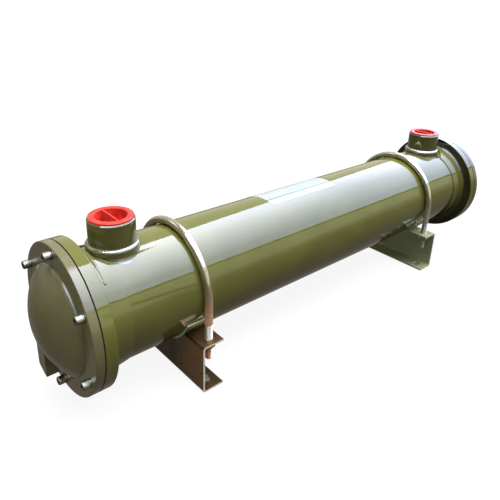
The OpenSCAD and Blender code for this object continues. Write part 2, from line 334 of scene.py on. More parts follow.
@dataclass(frozen=True)
class Finish:
    """A surface finish whose material is made once and shared.

    Attributes:
        name: the material's name.
        metallic: 1 for bare or plated metal, 0 for paint, plastic and film.
        ior: index of refraction of the skin.
    """

    name: str
    metallic: float = 0.0
    ior: float = 1.5

    def material(self) -> bpy.types.Material:
        """Gives the finish's material, and makes it at the first call.

        Returns:
            The material.
        """
        found = bpy.data.materials.get(self.name)
        if found is not None:
            return found
        made = bpy.data.materials.new(self.name)
        made.use_nodes = True
        made.node_tree.nodes.clear()
        sheet = NodeSheet(made.node_tree)
        shader = sheet.add("BsdfPrincipled", Metallic=self.metallic, IOR=self.ior)
        sheet.close(shader)
        self.dress(sheet, shader)
        return made

    def dress(self, sheet: NodeSheet, shader: bpy.types.Node) -> None:
        """Adds the nodes of this finish to its shader."""
        raise NotImplementedError

    @staticmethod
    def effect(sheet: NodeSheet, tree: bpy.types.NodeTree, **values: float) -> bpy.types.Node:
        """Places a shared effect group in a material.

        Args:
            sheet: the material's node sheet.
            tree: the group.
            values: values of the group's inputs.

        Returns:
            The group's node.
        """
        node = sheet.add("Group", node_tree=tree)
        for label, value in values.items():
            node.inputs[label].default_value = value
        return node

    @staticmethod
    def relief(sheet: NodeSheet, shader: bpy.types.Node, height: bpy.types.NodeSocket, depth: float) -> None:
        """Feeds a height into the shader's normal.

        Args:
            sheet: the material's node sheet.
            shader: the material's shader.
            height: socket of the height.
            depth: depth of the relief in metres.
        """
        bump = sheet.add("Bump", Strength=1.0, Distance=depth)
        sheet.join(height, bump.inputs["Height"])
        sheet.join(bump.outputs["Normal"], shader.inputs["Normal"])


@dataclass(frozen=True)
class EnamelPaint(Finish):
    """Glossy enamel sprayed on steel or on a casting.

    Attributes:
        light: colour of the thicker coat.
        dark: colour of the thinner coat.
        cloud_scale: scale of the change between the two.
        dust: colour of the specks that stuck in the wet coat.
        dust_scale: scale of the specks' pattern.
        dust_size: size of a speck in that pattern.
        gloss: roughness of the cleanest and of the dullest places.
        haze_scale: scale of the change between the two.
        peel_scale: scale of the skin's fine grain.
        peel_depth: depth of the skin's relief in metres.
        coarse: share of the slow wave in the relief.
        sheen: tint of the gloss.
    """

    light: RGB = (0.118, 0.123, 0.028)
    dark: RGB = (0.1, 0.104, 0.024)
    cloud_scale: float = 16.0
    dust: RGB = (0.2, 0.2, 0.12)
    dust_scale: float = 110.0
    dust_size: float = 0.06
    gloss: tuple[float, float] = (0.04, 0.09)
    haze_scale: float = 48.0
    peel_scale: float = 260.0
    peel_depth: float = 0.00004
    coarse: float = 1.5
    sheen: RGB = (1.0, 1.0, 1.0)

    def dress(self, sheet: NodeSheet, shader: bpy.types.Node) -> None:
        """Adds cloudy colour, stuck dust, uneven gloss and the skin's relief.

        Args:
            sheet: the material's node sheet.
            shader: the material's shader.
        """
        cloud = self.effect(sheet, EFFECTS.mottle(), Scale=self.cloud_scale)
        specks = self.effect(sheet, EFFECTS.specks(), Scale=self.dust_scale, Size=self.dust_size)
        coat = sheet.blend(cloud.outputs["Mask"], self.dark, self.light)
        sheet.join(sheet.blend(specks.outputs["Mask"], coat, self.dust), shader.inputs["Base Color"])
        haze = self.effect(sheet, EFFECTS.mottle(), Scale=self.haze_scale)
        sheet.join(sheet.spread(haze.outputs["Mask"], (0, 1), self.gloss), shader.inputs["Roughness"])
        skin = self.effect(sheet, EFFECTS.peel(), Scale=self.peel_scale, Coarse=self.coarse)
        bumps = sheet.math("ADD", skin.outputs["Height"], specks.outputs["Mask"])
        self.relief(sheet, shader, bumps, self.peel_depth)
        shader.inputs["Specular Tint"].default_value = (*self.sheen, 1)


@dataclass(frozen=True)
class PlatedSteel(Finish):
    """Steel with a passivated zinc coat whose tint drifts in clouds and along one axis; in the brackets and
    the U-bolt rods the drift along the axis is painted light and shade.

    Attributes:
        metallic: share of bare metal where the tint holds.
        dull: share of bare metal where the drift holds.
        tint: the main tint.
        drift: the tint that it drifts to.
        stain: colour of the dull spots.
        stain_scale: scale of the spots' pattern.
        stain_size: size of a spot in that pattern.
        gloss: roughness of the brightest and of the dullest places.
        streak: scale of the drawn lines.
        stretch: scale along the lines, by that across them.
        grain: depth of the drawn lines in metres.
        axis: the way along which the drift gives way to the tint.
        fade: place up to which the drift holds, and place from which the tint does.
        cloud: share of cloudy places in the change from one to the other.
        cloud_scale: scale of the cloudy places.
    """

    metallic: float = 1.0
    dull: float = 1.0
    tint: RGB = (0.62, 0.5, 0.33)
    drift: RGB = (0.5, 0.36, 0.26)
    stain: RGB = (0.22, 0.17, 0.11)
    stain_scale: float = 150.0
    stain_size: float = 0.22
    gloss: tuple[float, float] = (0.2, 0.38)
    streak: float = 500.0
    stretch: float = 0.04
    grain: float = 0.00002
    axis: str = "Z"
    fade: tuple[float, float] = (0.0, 0.3)
    cloud: float = 0.5
    cloud_scale: float = 28.0

    def dress(self, sheet: NodeSheet, shader: bpy.types.Node) -> None:
        """Adds the drifting tint, dull spots, drawn lines and a fine relief.

        Args:
            sheet: the material's node sheet.
            shader: the material's shader.
        """
        along = sheet.axes().outputs[self.axis]
        low = sheet.spread(along, self.fade, (1 - self.cloud / 2, -self.cloud / 2))
        clouds = self.effect(sheet, EFFECTS.mottle(), Scale=self.cloud_scale)
        drift = sheet.math("MULTIPLY_ADD", clouds.outputs["Mask"], self.cloud, low)
        spots = self.effect(sheet, EFFECTS.specks(), Scale=self.stain_scale, Size=self.stain_size)
        lines = self.effect(sheet, EFFECTS.streaks(), Scale=self.streak, Stretch=self.stretch)
        coat = sheet.blend(drift, self.tint, self.drift)
        sheet.join(sheet.blend(spots.outputs["Mask"], coat, self.stain), shader.inputs["Base Color"])
        dull = sheet.math("MAXIMUM", lines.outputs["Mask"], spots.outputs["Mask"])
        sheet.join(sheet.spread(dull, (0, 1), self.gloss), shader.inputs["Roughness"])
        sheet.join(sheet.spread(drift, (0, 1), (self.metallic, self.dull)), shader.inputs["Metallic"])
        self.relief(sheet, shader, lines.outputs["Mask"], self.grain)


@dataclass(frozen=True)
class MouldedPlastic(Finish):
    """Soft moulded plastic of a transport plug.

    Attributes:
        deep: colour of the thick places.
        pale: colour of the scuffed places.
        scuff_scale: scale of the change between the two.
        gloss: roughness of the smoothest and of the scuffed places.
        grain_scale: scale of the mould's grain.
        grain_depth: depth of that grain in metres.
        coarse: share of the slow wave in that grain.
        glow: share of the light that goes in and comes out beside.
        glow_reach: how far it comes out, in metres of red, green and blue.
    """

    deep: RGB = (0.54, 0.014, 0.009)
    pale: RGB = (0.64, 0.046, 0.024)
    scuff_scale: float = 90.0
    gloss: tuple[float, float] = (0.3, 0.45)
    grain_scale: float = 900.0
    grain_depth: float = 0.00003
    coarse: float = 0.5
    glow: float = 0.12
    glow_reach: RGB = (0.004, 0.001, 0.0005)

    def dress(self, sheet: NodeSheet, shader: bpy.types.Node) -> None:
        """Adds scuffed colour, uneven gloss and the mould's grain.

        Args:
            sheet: the material's node sheet.
            shader: the material's shader.
        """
        scuff = self.effect(sheet, EFFECTS.mottle(), Scale=self.scuff_scale)
        sheet.join(sheet.blend(scuff.outputs["Mask"], self.deep, self.pale), shader.inputs["Base Color"])
        sheet.join(sheet.spread(scuff.outputs["Mask"], (0, 1), self.gloss), shader.inputs["Roughness"])
        grain = self.effect(sheet, EFFECTS.peel(), Scale=self.grain_scale, Coarse=self.coarse)
        self.relief(sheet, shader, grain.outputs["Height"], self.grain_depth)
        shader.inputs["Subsurface Weight"].default_value = self.glow
        shader.inputs["Subsurface Radius"].default_value = self.glow_reach


@dataclass(frozen=True)
class FibreGasket(Finish):
    """Pressed fibre sheet, nearly black at its cut edge.

    Attributes:
        sheet_colour: colour of the binder.
        fibre_colour: colour of the fibres at the cut.
        fibre_scale: scale of the fibres.
        coarse: share of the slow wave in their relief.
        cut: heights between which the fibres show.
        gloss: roughness of the binder and of the fibres.
        depth: depth of the relief in metres.
    """

    sheet_colour: RGB = (0.006, 0.006, 0.006)
    fibre_colour: RGB = (0.02, 0.019, 0.017)
    fibre_scale: float = 1400.0
    coarse: float = 0.3
    cut: tuple[float, float] = (0.55, 0.85)
    gloss: tuple[float, float] = (0.75, 0.95)
    depth: float = 0.00008

    def dress(self, sheet: NodeSheet, shader: bpy.types.Node) -> None:
        """Adds fibres, a dull skin and a rough cut.

        Args:
            sheet: the material's node sheet.
            shader: the material's shader.
        """
        fibres = self.effect(sheet, EFFECTS.peel(), Scale=self.fibre_scale, Coarse=self.coarse)
        mask = sheet.spread(fibres.outputs["Height"], self.cut, (0, 1))
        sheet.join(sheet.blend(mask, self.sheet_colour, self.fibre_colour), shader.inputs["Base Color"])
        sheet.join(sheet.spread(mask, (0, 1), self.gloss), shader.inputs["Roughness"])
        self.relief(sheet, shader, fibres.outputs["Height"], self.depth)


@dataclass(frozen=True)
class LabelFilm(Finish):
    """Bare printed film: white ground with one thin coloured rule along the shell.

    Attributes:
        ground: colour of the film.
        shade: colour of the film where it is a little soiled.
        soil_scale: scale of the soiled places.
        gloss: roughness of the clean and of the soiled places.
        grain_scale: scale of the film's grain.
        grain_depth: depth of that grain in metres.
        coarse: share of the slow wave in that grain.
        rule: colour of the rule.
        rule_at: place of the rule across the label, from 0 at its front edge to 1.
        rule_width: width of the rule on the same scale.
    """

    ground: RGB = (0.34, 0.38, 0.39)
    shade: RGB = (0.28, 0.345, 0.36)
    soil_scale: float = 34.0
    gloss: tuple[float, float] = (0.18, 0.3)
    grain_scale: float = 700.0
    grain_depth: float = 0.00002
    coarse: float = 0.6
    rule: RGB = (0.07, 0.18, 0.19)
    rule_at: float = 0.2
    rule_width: float = 0.035

    def dress(self, sheet: NodeSheet, shader: bpy.types.Node) -> None:
        """Adds soiling, the rule and a slightly uneven gloss.

        Args:
            sheet: the material's node sheet.
            shader: the material's shader.
        """
        soil = self.effect(sheet, EFFECTS.mottle(), Scale=self.soil_scale)
        film = sheet.blend(soil.outputs["Mask"], self.ground, self.shade)
        across = sheet.add("Attribute", attribute_name=ShellLabel.ACROSS)
        off = sheet.math("ABSOLUTE", sheet.math("SUBTRACT", across.outputs["Fac"], self.rule_at))
        line = sheet.math("LESS_THAN", off, self.rule_width / 2)
        sheet.join(sheet.blend(line, film, self.rule), shader.inputs["Base Color"])
        sheet.join(sheet.spread(soil.outputs["Mask"], (0, 1), self.gloss), shader.inputs["Roughness"])
        grain = self.effect(sheet, EFFECTS.peel(), Scale=self.grain_scale, Coarse=self.coarse)
        self.relief(sheet, shader, grain.outputs["Height"], self.grain_depth)


OLIVE = EnamelPaint("olive_enamel")
OLIVE_CAST = EnamelPaint("olive_enamel_on_casting", light=(0.122, 0.12, 0.056), dark=(0.1, 0.097, 0.046),
                         gloss=(0.14, 0.24), peel_scale=420.0, peel_depth=0.00006, coarse=1.0)
# Darker copy of the olive enamel for the weld bead and collar: painted shade.
OLIVE_WELD_SHADED = EnamelPaint("olive_enamel_painted_shade_on_weld", ior=2.2, light=(0.1, 0.104, 0.024),
                         dark=(0.085, 0.089, 0.02))
# Darker copy of the olive enamel for the socket's walls: painted shade. Its warm gloss tint colours the rim's
# reflection cream.
OLIVE_SOCKET_SHADED = EnamelPaint("olive_enamel_on_socket", ior=1.7, light=(0.094, 0.096, 0.026),
                           dark=(0.076, 0.077, 0.022), sheen=(1.0, 0.94, 0.76))
# Darker copy of the olive enamel for the back of the far flange: painted shade.
OLIVE_PAINTED_SHADE_BACK = EnamelPaint("olive_enamel_painted_shade_on_back", light=(0.034, 0.036, 0.012), dark=(0.026, 0.028, 0.01),
                         gloss=(0.1, 0.2))
SCREW_PAINT = EnamelPaint("olive_enamel_on_screws", ior=2.7, light=(0.03, 0.032, 0.014),
                          dark=(0.02, 0.022, 0.01), gloss=(0.06, 0.14), peel_scale=900.0,
                          sheen=(1.0, 0.98, 0.7))
# The two brackets are one plated steel, and each end takes its own copy as painted light. The near one is lit
# brown at its front edge and darkens towards the back: painted light and shade.
BRACKET_PAINTED_LIGHT = {
    End.RETURN: PlatedSteel("brown_bracket_zinc_painted_shade", tint=(0.075, 0.07, 0.035), drift=(0.44, 0.26, 0.12),
                            stain=(0.07, 0.05, 0.03), gloss=(0.28, 0.34), grain=0.000006, axis="Y",
                            fade=(-0.108, -0.03), cloud=0.25),
    End.CHANNEL: PlatedSteel("olive_bracket_zinc_painted_light", metallic=0.3, dull=0.3, tint=(0.3, 0.37, 0.22),
                             drift=(0.33, 0.36, 0.2), stain=(0.18, 0.2, 0.12), gloss=(0.28, 0.34),
                             grain=0.000006),
}
# Bare steel at the sheet's cut ends, made near white as a painted highlight.
CUT_ZINC_HIGHLIGHT = PlatedSteel("cut_edge_zinc_painted_highlight", metallic=0.4, dull=0.4, tint=(0.92, 0.9, 0.82),
                       drift=(0.86, 0.82, 0.72), stain=(0.5, 0.43, 0.32), gloss=(0.2, 0.34))
# Pale cut edges of the saddle strip: bare steel with a painted highlight.
SADDLE_CUT_HIGHLIGHT = PlatedSteel("saddle_edge_zinc_painted_highlight", metallic=0.2, dull=0.2, tint=(0.56, 0.64, 0.46),
                         drift=(0.46, 0.53, 0.36), stain=(0.3, 0.32, 0.2), gloss=(0.2, 0.34))
SADDLE_ZINC = PlatedSteel("saddle_zinc", tint=(0.24, 0.27, 0.17), drift=(0.2, 0.22, 0.13),
                          stain=(0.18, 0.18, 0.1), gloss=(0.2, 0.36))
# The two rods are one plated steel, and each end takes its own copy. Their lower legs turn brighter and less
# metallic: painted light.
ROD_PAINTED_LIGHT = {
    End.RETURN: PlatedSteel("copper_rod_zinc_painted_light", metallic=0.9, dull=0.55, tint=(0.47, 0.42, 0.29),
                            drift=(0.86, 0.53, 0.34), stain=(0.3, 0.22, 0.14), gloss=(0.14, 0.24),
                            fade=(0.11, 0.17), cloud=0.2),
    End.CHANNEL: PlatedSteel("olive_rod_zinc_painted_light", metallic=0.9, dull=0.6, tint=(0.5, 0.49, 0.34),
                             drift=(0.6, 0.59, 0.42), stain=(0.3, 0.28, 0.18), gloss=(0.14, 0.24),
                             fade=(0.11, 0.17), cloud=0.2),
}
THREAD_ZINC = PlatedSteel("thread_zinc", metallic=0.7, dull=0.7, tint=(0.46, 0.44, 0.34),
                          drift=(0.4, 0.38, 0.28), gloss=(0.26, 0.4))
NUT_ZINC = PlatedSteel("nut_zinc", metallic=0.7, dull=0.7, tint=(0.6, 0.52, 0.4), drift=(0.5, 0.38, 0.26),
                       gloss=(0.2, 0.34))
PLUG_RED = MouldedPlastic("plug_red_plastic", ior=1.38)
GASKET_FIBRE = FibreGasket("gasket_fibre", ior=1.1)
LABEL_FILM = LabelFilm("label_film", ior=1.4)


def publish(bm: bmesh.types.BMesh, name: str, finishes: Sequence[Finish],
            replaced: Sequence[str] = (), even: bool = False) -> bpy.types.Object:
    """Turns a finished bmesh into a piece that rides on the cooler.

    Args:
        bm: the shape, in the cooler's own frame; it is freed here.
        name: the piece's name.
        finishes: one finish for each material index in the shape.
        replaced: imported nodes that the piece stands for.
        even: whether large faces set the shading of the edges beside them.

    Returns:
        The new object.
    """
    bmesh.ops.remove_doubles(bm, verts=bm.verts[:], dist=MERGE_DISTANCE)
    bmesh.ops.recalc_face_normals(bm, faces=bm.faces[:])
    for face in bm.faces:
        face.smooth = True
    mesh = bpy.data.meshes.new(name)
    bm.to_mesh(mesh)
    bm.free()
    mesh.set_sharp_from_angle(angle=SHARP_ANGLE)
    piece = bpy.data.objects.new(name, mesh)
    bpy.context.scene.collection.objects.link(piece)
    for finish in finishes:
        mesh.materials.append(finish.material())
    if even:
        piece.modifiers.new("even_shading", "WEIGHTED_NORMAL").keep_sharp = True
    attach(piece, BODY)
    if replaced:
        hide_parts(*replaced)
    LOG.info("piece %s: %d faces", name, len(mesh.polygons))
    return piece


def dress_node(node: str, finish: Finish) -> None:
    """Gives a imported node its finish.

    Args:
        node: the node's name.
        finish: the finish of its whole surface.
    """
    for slot in frame["nodes"][node].material_slots:
        slot.material = finish.material()
    LOG.info("node %s: %s", node, finish.name)


def round_node(node: str, finishes: Sequence[Finish], width: float,
               pick: Callable[[bmesh.types.BMFace], bool] | None = None) -> bpy.types.Object:
    """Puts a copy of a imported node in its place, with its outer edges rounded.

    Args:
        node: the node's name.
        finishes: the main finish, and a second one for the faces that are picked.
        width: width of the rounding.
        pick: says which faces take the second finish.

    Returns:
        The new object.
    """
    bm = bmesh.new()
    bm.from_mesh(frame["nodes"][node].data)
    for layer in list(bm.loops.layers.float_vector.values()):
        bm.loops.layers.float_vector.remove(layer)
    bmesh.ops.remove_doubles(bm, verts=bm.verts[:], dist=MERGE_DISTANCE)
    bmesh.ops.dissolve_limit(bm, angle_limit=FLAT_ANGLE, verts=bm.verts[:], edges=bm.edges[:])
    outer = [edge for edge in bm.edges if edge.is_convex and edge.calc_face_angle(0) > EDGE_ANGLE]
    bmesh.ops.bevel(bm, geom=outer, offset=width, offset_type="OFFSET", affect="EDGES", segments=3,
                    profile=0.5, material=-1, clamp_overlap=True)
    bm.normal_update()
    for face in bm.faces:
        face.material_index = int(pick is not None and pick(face))
    return publish(bm, f"{node}_rounded", finishes, [node], even=True)


def middle(node: str) -> Vector:
    """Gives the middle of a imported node's box."""
    low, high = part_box(node)
    return (low + high) / 2


def verts_in(geom: Iterable[Any]) -> list[bmesh.types.BMVert]:
    """Picks the vertices out of what an operator made."""
    return [item for item in geom if isinstance(item, bmesh.types.BMVert)]


def edges_in(geom: Iterable[Any]) -> list[bmesh.types.BMEdge]:
    """Picks the edges out of what an operator made."""
    return [item for item in geom if isinstance(item, bmesh.types.BMEdge)]


def edges_at(verts: Iterable[bmesh.types.BMVert]) -> list[bmesh.types.BMEdge]:
    """Gives the edges that meet some vertices, each of them once."""
    return list(dict.fromkeys(edge for vert in verts for edge in vert.link_edges))


def spin_round(bm: bmesh.types.BMesh, steps: int) -> None:
    """Spins the whole profile of a bmesh once round the Z axis."""
    bmesh.ops.spin(bm, geom=bm.verts[:] + bm.edges[:], cent=(0, 0, 0), axis=(0, 0, 1), angle=TURN,
                   steps=steps, use_merge=True, use_duplicate=False)


def draw_profile(bm: bmesh.types.BMesh, points: Iterable[Sequence[float]], closed: bool = False) -> None:
    """Draws a half section of radius and height in the XZ plane.

    Args:
        bm: where the section goes.
        points: pairs of radius and height.
        closed: whether the last point joins the first.
    """
    verts = [bm.verts.new((radius, 0, height)) for radius, height in points]
    pairs = list(zip(verts, verts[1:]))
    if closed:
        pairs.append((verts[-1], verts[0]))
    for pair in pairs:
        bm.edges.new(pair)


def arc(centre: Sequence[float], radius: float, start: float, end: float, steps: int
        ) -> list[tuple[float, float]]:
    """Gives points on an arc of a half section.

    Args:
        centre: radius and height of the arc's centre.
        radius: the arc's radius.
        start: first angle in degrees, from the outward direction towards the top.
        end: last angle in degrees.
        steps: number of straight stretches.

    Returns:
        Pairs of radius and height.
    """
    angles = [math.radians(start + (end - start) * k / steps) for k in range(steps + 1)]
    return [(centre[0] + radius * math.cos(a), centre[1] + radius * math.sin(a)) for a in angles]


@dataclass
class ShellLabel:
    """Bare film label on top of the shell.

    Attributes:
        x_low: end of the label nearer the return cover.
        x_high: end of the label nearer the channel cover.
        front_deg: angle of its front edge, from the front horizontal towards the top.
        rear_deg: angle of its rear edge.
        corner: radius of its corners.
        film: thickness of the film.
        cuts: number of straight stretches round the shell.
    """

    ACROSS = "across_label"

    x_low: float = -105 * MM
    x_high: float = 55 * MM
    front_deg: float = 74.0
    rear_deg: float = 126.0
    corner: float = 1 * MM
    film: float = 0.25 * MM
    cuts: int = 28

    def build(self, axis_z: float, shell_r: float) -> None:
        """Cuts the film flat, bends it round the shell and gives it its thickness.

        Args:
            axis_z: height of the shell's axis.
            shell_r: radius of the shell.
        """
        arc_len = math.radians(self.rear_deg - self.front_deg) * shell_r
        bm = bmesh.new()
        bmesh.ops.create_grid(bm, x_segments=1, y_segments=1, size=0.5)
        bmesh.ops.scale(bm, vec=(self.x_high - self.x_low, arc_len, 1), verts=bm.verts[:])
        bmesh.ops.bevel(bm, geom=bm.verts[:], offset=self.corner, offset_type="OFFSET", affect="VERTICES",
                        segments=6, profile=0.5, material=-1)
        for k in range(1, self.cuts):
            at = arc_len * (k / self.cuts - 0.5)
            bmesh.ops.bisect_plane(bm, geom=bm.verts[:] + bm.edges[:] + bm.faces[:], plane_co=(0, at, 0),
                                   plane_no=(0, 1, 0))
        share = bm.verts.layers.float.new(self.ACROSS)
        for vert in bm.verts:
            vert[share] = vert.co.y / arc_len + 0.5
        bmesh.ops.solidify(bm, geom=bm.faces[:], thickness=self.film)
        low = min(vert.co.z for vert in bm.verts)
        for vert in bm.verts:
            turn = math.radians(self.front_deg) + (vert.co.y / arc_len + 0.5) * arc_len / shell_r
            radius = shell_r + vert.co.z - low
            x = vert.co.x + (self.x_low + self.x_high) / 2
            vert.co = (x, -radius * math.cos(turn), axis_z + radius * math.sin(turn))
        publish(bm, "shell_label", [LABEL_FILM])


@dataclass
class PaintRun:
    """Run of paint that set on the hub beside the near flange, with a drop at its lower end.

    Attributes:
        x: place along the shell.
        lift: height of the hub above the shell there.
        turn: where it starts and stops round the shell, in degrees from the front.
        width: width of the run at its start and at its end.
        height: height of the run.
        drop: radius of the drop.
        drop_step: how far below the run's end it hangs, in degrees.
        drop_stretch: length of the drop by its width.
    """

    x: float = -424 * MM
    lift: float = 3.9 * MM
    turn: tuple[float, float] = (96, 52)
    width: tuple[float, float] = (10 * MM, 2 * MM)
    height: float = 1.5 * MM
    drop: float = 1.9 * MM
    drop_step: float = 2.5
    drop_stretch: float = 1.5

    def build(self, axis_z: float, shell_r: float) -> None:
        """Lays a drawn-out ball along the hub and sets the drop below it.

        Args:
            axis_z: height of the shell's axis.
            shell_r: radius of the shell.
        """
        start, stop = (math.radians(angle) for angle in self.turn)
        bm = bmesh.new()
        run = bmesh.ops.create_uvsphere(bm, u_segments=20, v_segments=40, radius=1)["verts"]
        for vert in run:
            along = (vert.co.z + 1) / 2
            width = self.width[0] + (self.width[1] - self.width[0]) * along
            self.lay(vert, axis_z, shell_r, start + (stop - start) * along, vert.co.x * width / 2)
        drop = bmesh.ops.create_uvsphere(bm, u_segments=20, v_segments=12, radius=1)["verts"]
        for vert in drop:
            fall = vert.co.z * self.drop_stretch * self.drop / shell_r
            turn = stop - math.radians(self.drop_step) - fall
            self.lay(vert, axis_z, shell_r, turn, vert.co.x * self.drop)
        publish(bm, "paint_run", [OLIVE])

    def lay(self, vert: bmesh.types.BMVert, axis_z: float, shell_r: float, turn: float, aside: float) -> None:
        """Moves a point of a ball onto the hub.

        Args:
            vert: the point.
            axis_z: height of the shell's axis.
            shell_r: radius of the shell.
            turn: where it goes round the shell.
            aside: how far it goes along the shell.
        """
        radius = shell_r + self.lift + vert.co.y * self.height
        vert.co = (self.x + aside, -radius * math.cos(turn), axis_z + radius * math.sin(turn))


@dataclass
class Shell:
    """Painted shell tube with its two welded flanges and its label.

    Attributes:
        label: the film label on its top.
        run: the run of paint beside the near flange.
        edge: rounding of the flanges' edges.
    """

    label: ShellLabel = field(default_factory=ShellLabel)
    run: PaintRun = field(default_factory=PaintRun)
    edge: float = 1 * MM

    @property
    def axis_z(self) -> float:
        """Height of the shell's axis."""
        return middle("return_gasket").z

    @property
    def radius(self) -> float:
        """Outer radius of the shell tube."""
        low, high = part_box("shell_tube")
        return (high.z - low.z) / 2

    def build(self) -> None:
        """Builds the label on the shell, the painted flanges and the run of paint."""
        self.label.build(self.axis_z, self.radius)
        round_node("return_flange", [OLIVE], self.edge)
        # The back of the far flange takes the darker copy of the enamel: painted shade.
        round_node("channel_flange", [OLIVE, OLIVE_PAINTED_SHADE_BACK], self.edge, self.is_shaded_back)
        self.run.build(self.axis_z, self.radius)

    @staticmethod
    def is_shaded_back(face: bmesh.types.BMFace) -> bool:
        """Says whether a face is on the back of the far flange, which takes the darker enamel as painted
        shade.
        """
        return face.normal.x < -FACE_ON

    def dress(self) -> None:
        """Paints the tube."""
        dress_node("shell_tube", OLIVE)


@dataclass
class TransportPlug:
    """Red cup plug with a round rim and a wall across its cup.

    Attributes:
        node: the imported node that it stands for.
        outward: the way that the plug looks.
        rim_t: thickness of the rim.
        depth: depth of the cup below the rim's seat.
        wall: thickness of the cup's wall.
        socket_wall: wall between the rim's outer edge and the cup's bore, with the rim's step.
        web: thickness of the wall across the cup.
        web_drop: step from the rim down to that wall.
        web_round: rounding of that wall's top edges.
        round_out: radius of the rim's outer edge.
        round_in: radius of the rim's inner edge.
        steps: number of faces round the plug.
    """

    node: str
    outward: Outward
    rim_t: float = 3 * MM
    depth: float = 18 * MM
    wall: float = 1.8 * MM
    socket_wall: float = 6.7 * MM
    web: float = 2.2 * MM
    web_drop: float = 1 * MM
    web_round: float = 0.792 * MM
    round_out: float = 1.1 * MM
    round_in: float = 0.7 * MM
    steps: int = 96

    def build(self) -> bpy.types.Object:
        """Spins the cup and sets the wall across it.

        Returns:
            The new object.
        """
        low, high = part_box(self.node)
        rim_r = (high.y - low.y) / 2
        cup_r = rim_r - self.socket_wall
        inner_r = cup_r - self.wall
        floor_z = self.wall - self.depth
        bm = bmesh.new()
        draw_profile(bm, [
            (0, -self.depth),
            *arc((cup_r - self.round_out, self.round_out - self.depth), self.round_out, -90, 0, 4),
            (cup_r, 0),
            *arc((rim_r - self.round_out / 2, self.round_out / 2), self.round_out / 2, -90, 0, 3),
            *arc((rim_r - self.round_out, self.rim_t - self.round_out), self.round_out, 0, 90, 6),
            *arc((inner_r + self.round_in, self.rim_t - self.round_in), self.round_in, 90, 180, 5),
            *arc((inner_r - self.round_out, floor_z + self.round_out), self.round_out, 0, -90, 4),
            (0, floor_z),
        ])
        spin_round(bm, self.steps)
        self.add_web(bm, inner_r, floor_z)
        centre = middle(self.node)
        seat = {
            Outward.UP: Vector((centre.x, centre.y, high.z - self.rim_t)),
            Outward.RIGHT: Vector((high.x - self.rim_t, centre.y, centre.z)),
        }[self.outward]
        bmesh.ops.transform(bm, matrix=Matrix.Translation(seat) @ self.outward.turn(), verts=bm.verts[:])
        return publish(bm, f"{self.node}_cup", [PLUG_RED], [self.node])

    def add_web(self, bm: bmesh.types.BMesh, inner_r: float, floor_z: float) -> None:
        """Adds the wall across the cup, with its top edges rounded.

        Args:
            bm: the plug's shape.
            inner_r: inner radius of the cup.
            floor_z: height of the cup's floor.
        """
        sink = self.wall / 2
        top = self.rim_t - self.web_drop
        height = top - floor_z + sink
        made = bmesh.ops.create_cube(bm, size=1)["verts"]
        bmesh.ops.scale(bm, vec=(self.web, 2 * inner_r + self.wall, height), verts=made)
        bmesh.ops.translate(bm, vec=(0, 0, top - height / 2), verts=made)
        limit = top - MERGE_DISTANCE
        upper = [edge for edge in edges_at(made) if min(vert.co.z for vert in edge.verts) > limit]
        along = [edge for edge in upper if abs(edge.verts[0].co.y - edge.verts[1].co.y) > self.web]
        bmesh.ops.bevel(bm, geom=along, offset=self.web_round, offset_type="OFFSET", affect="EDGES",
                        segments=4, profile=0.5, material=-1)


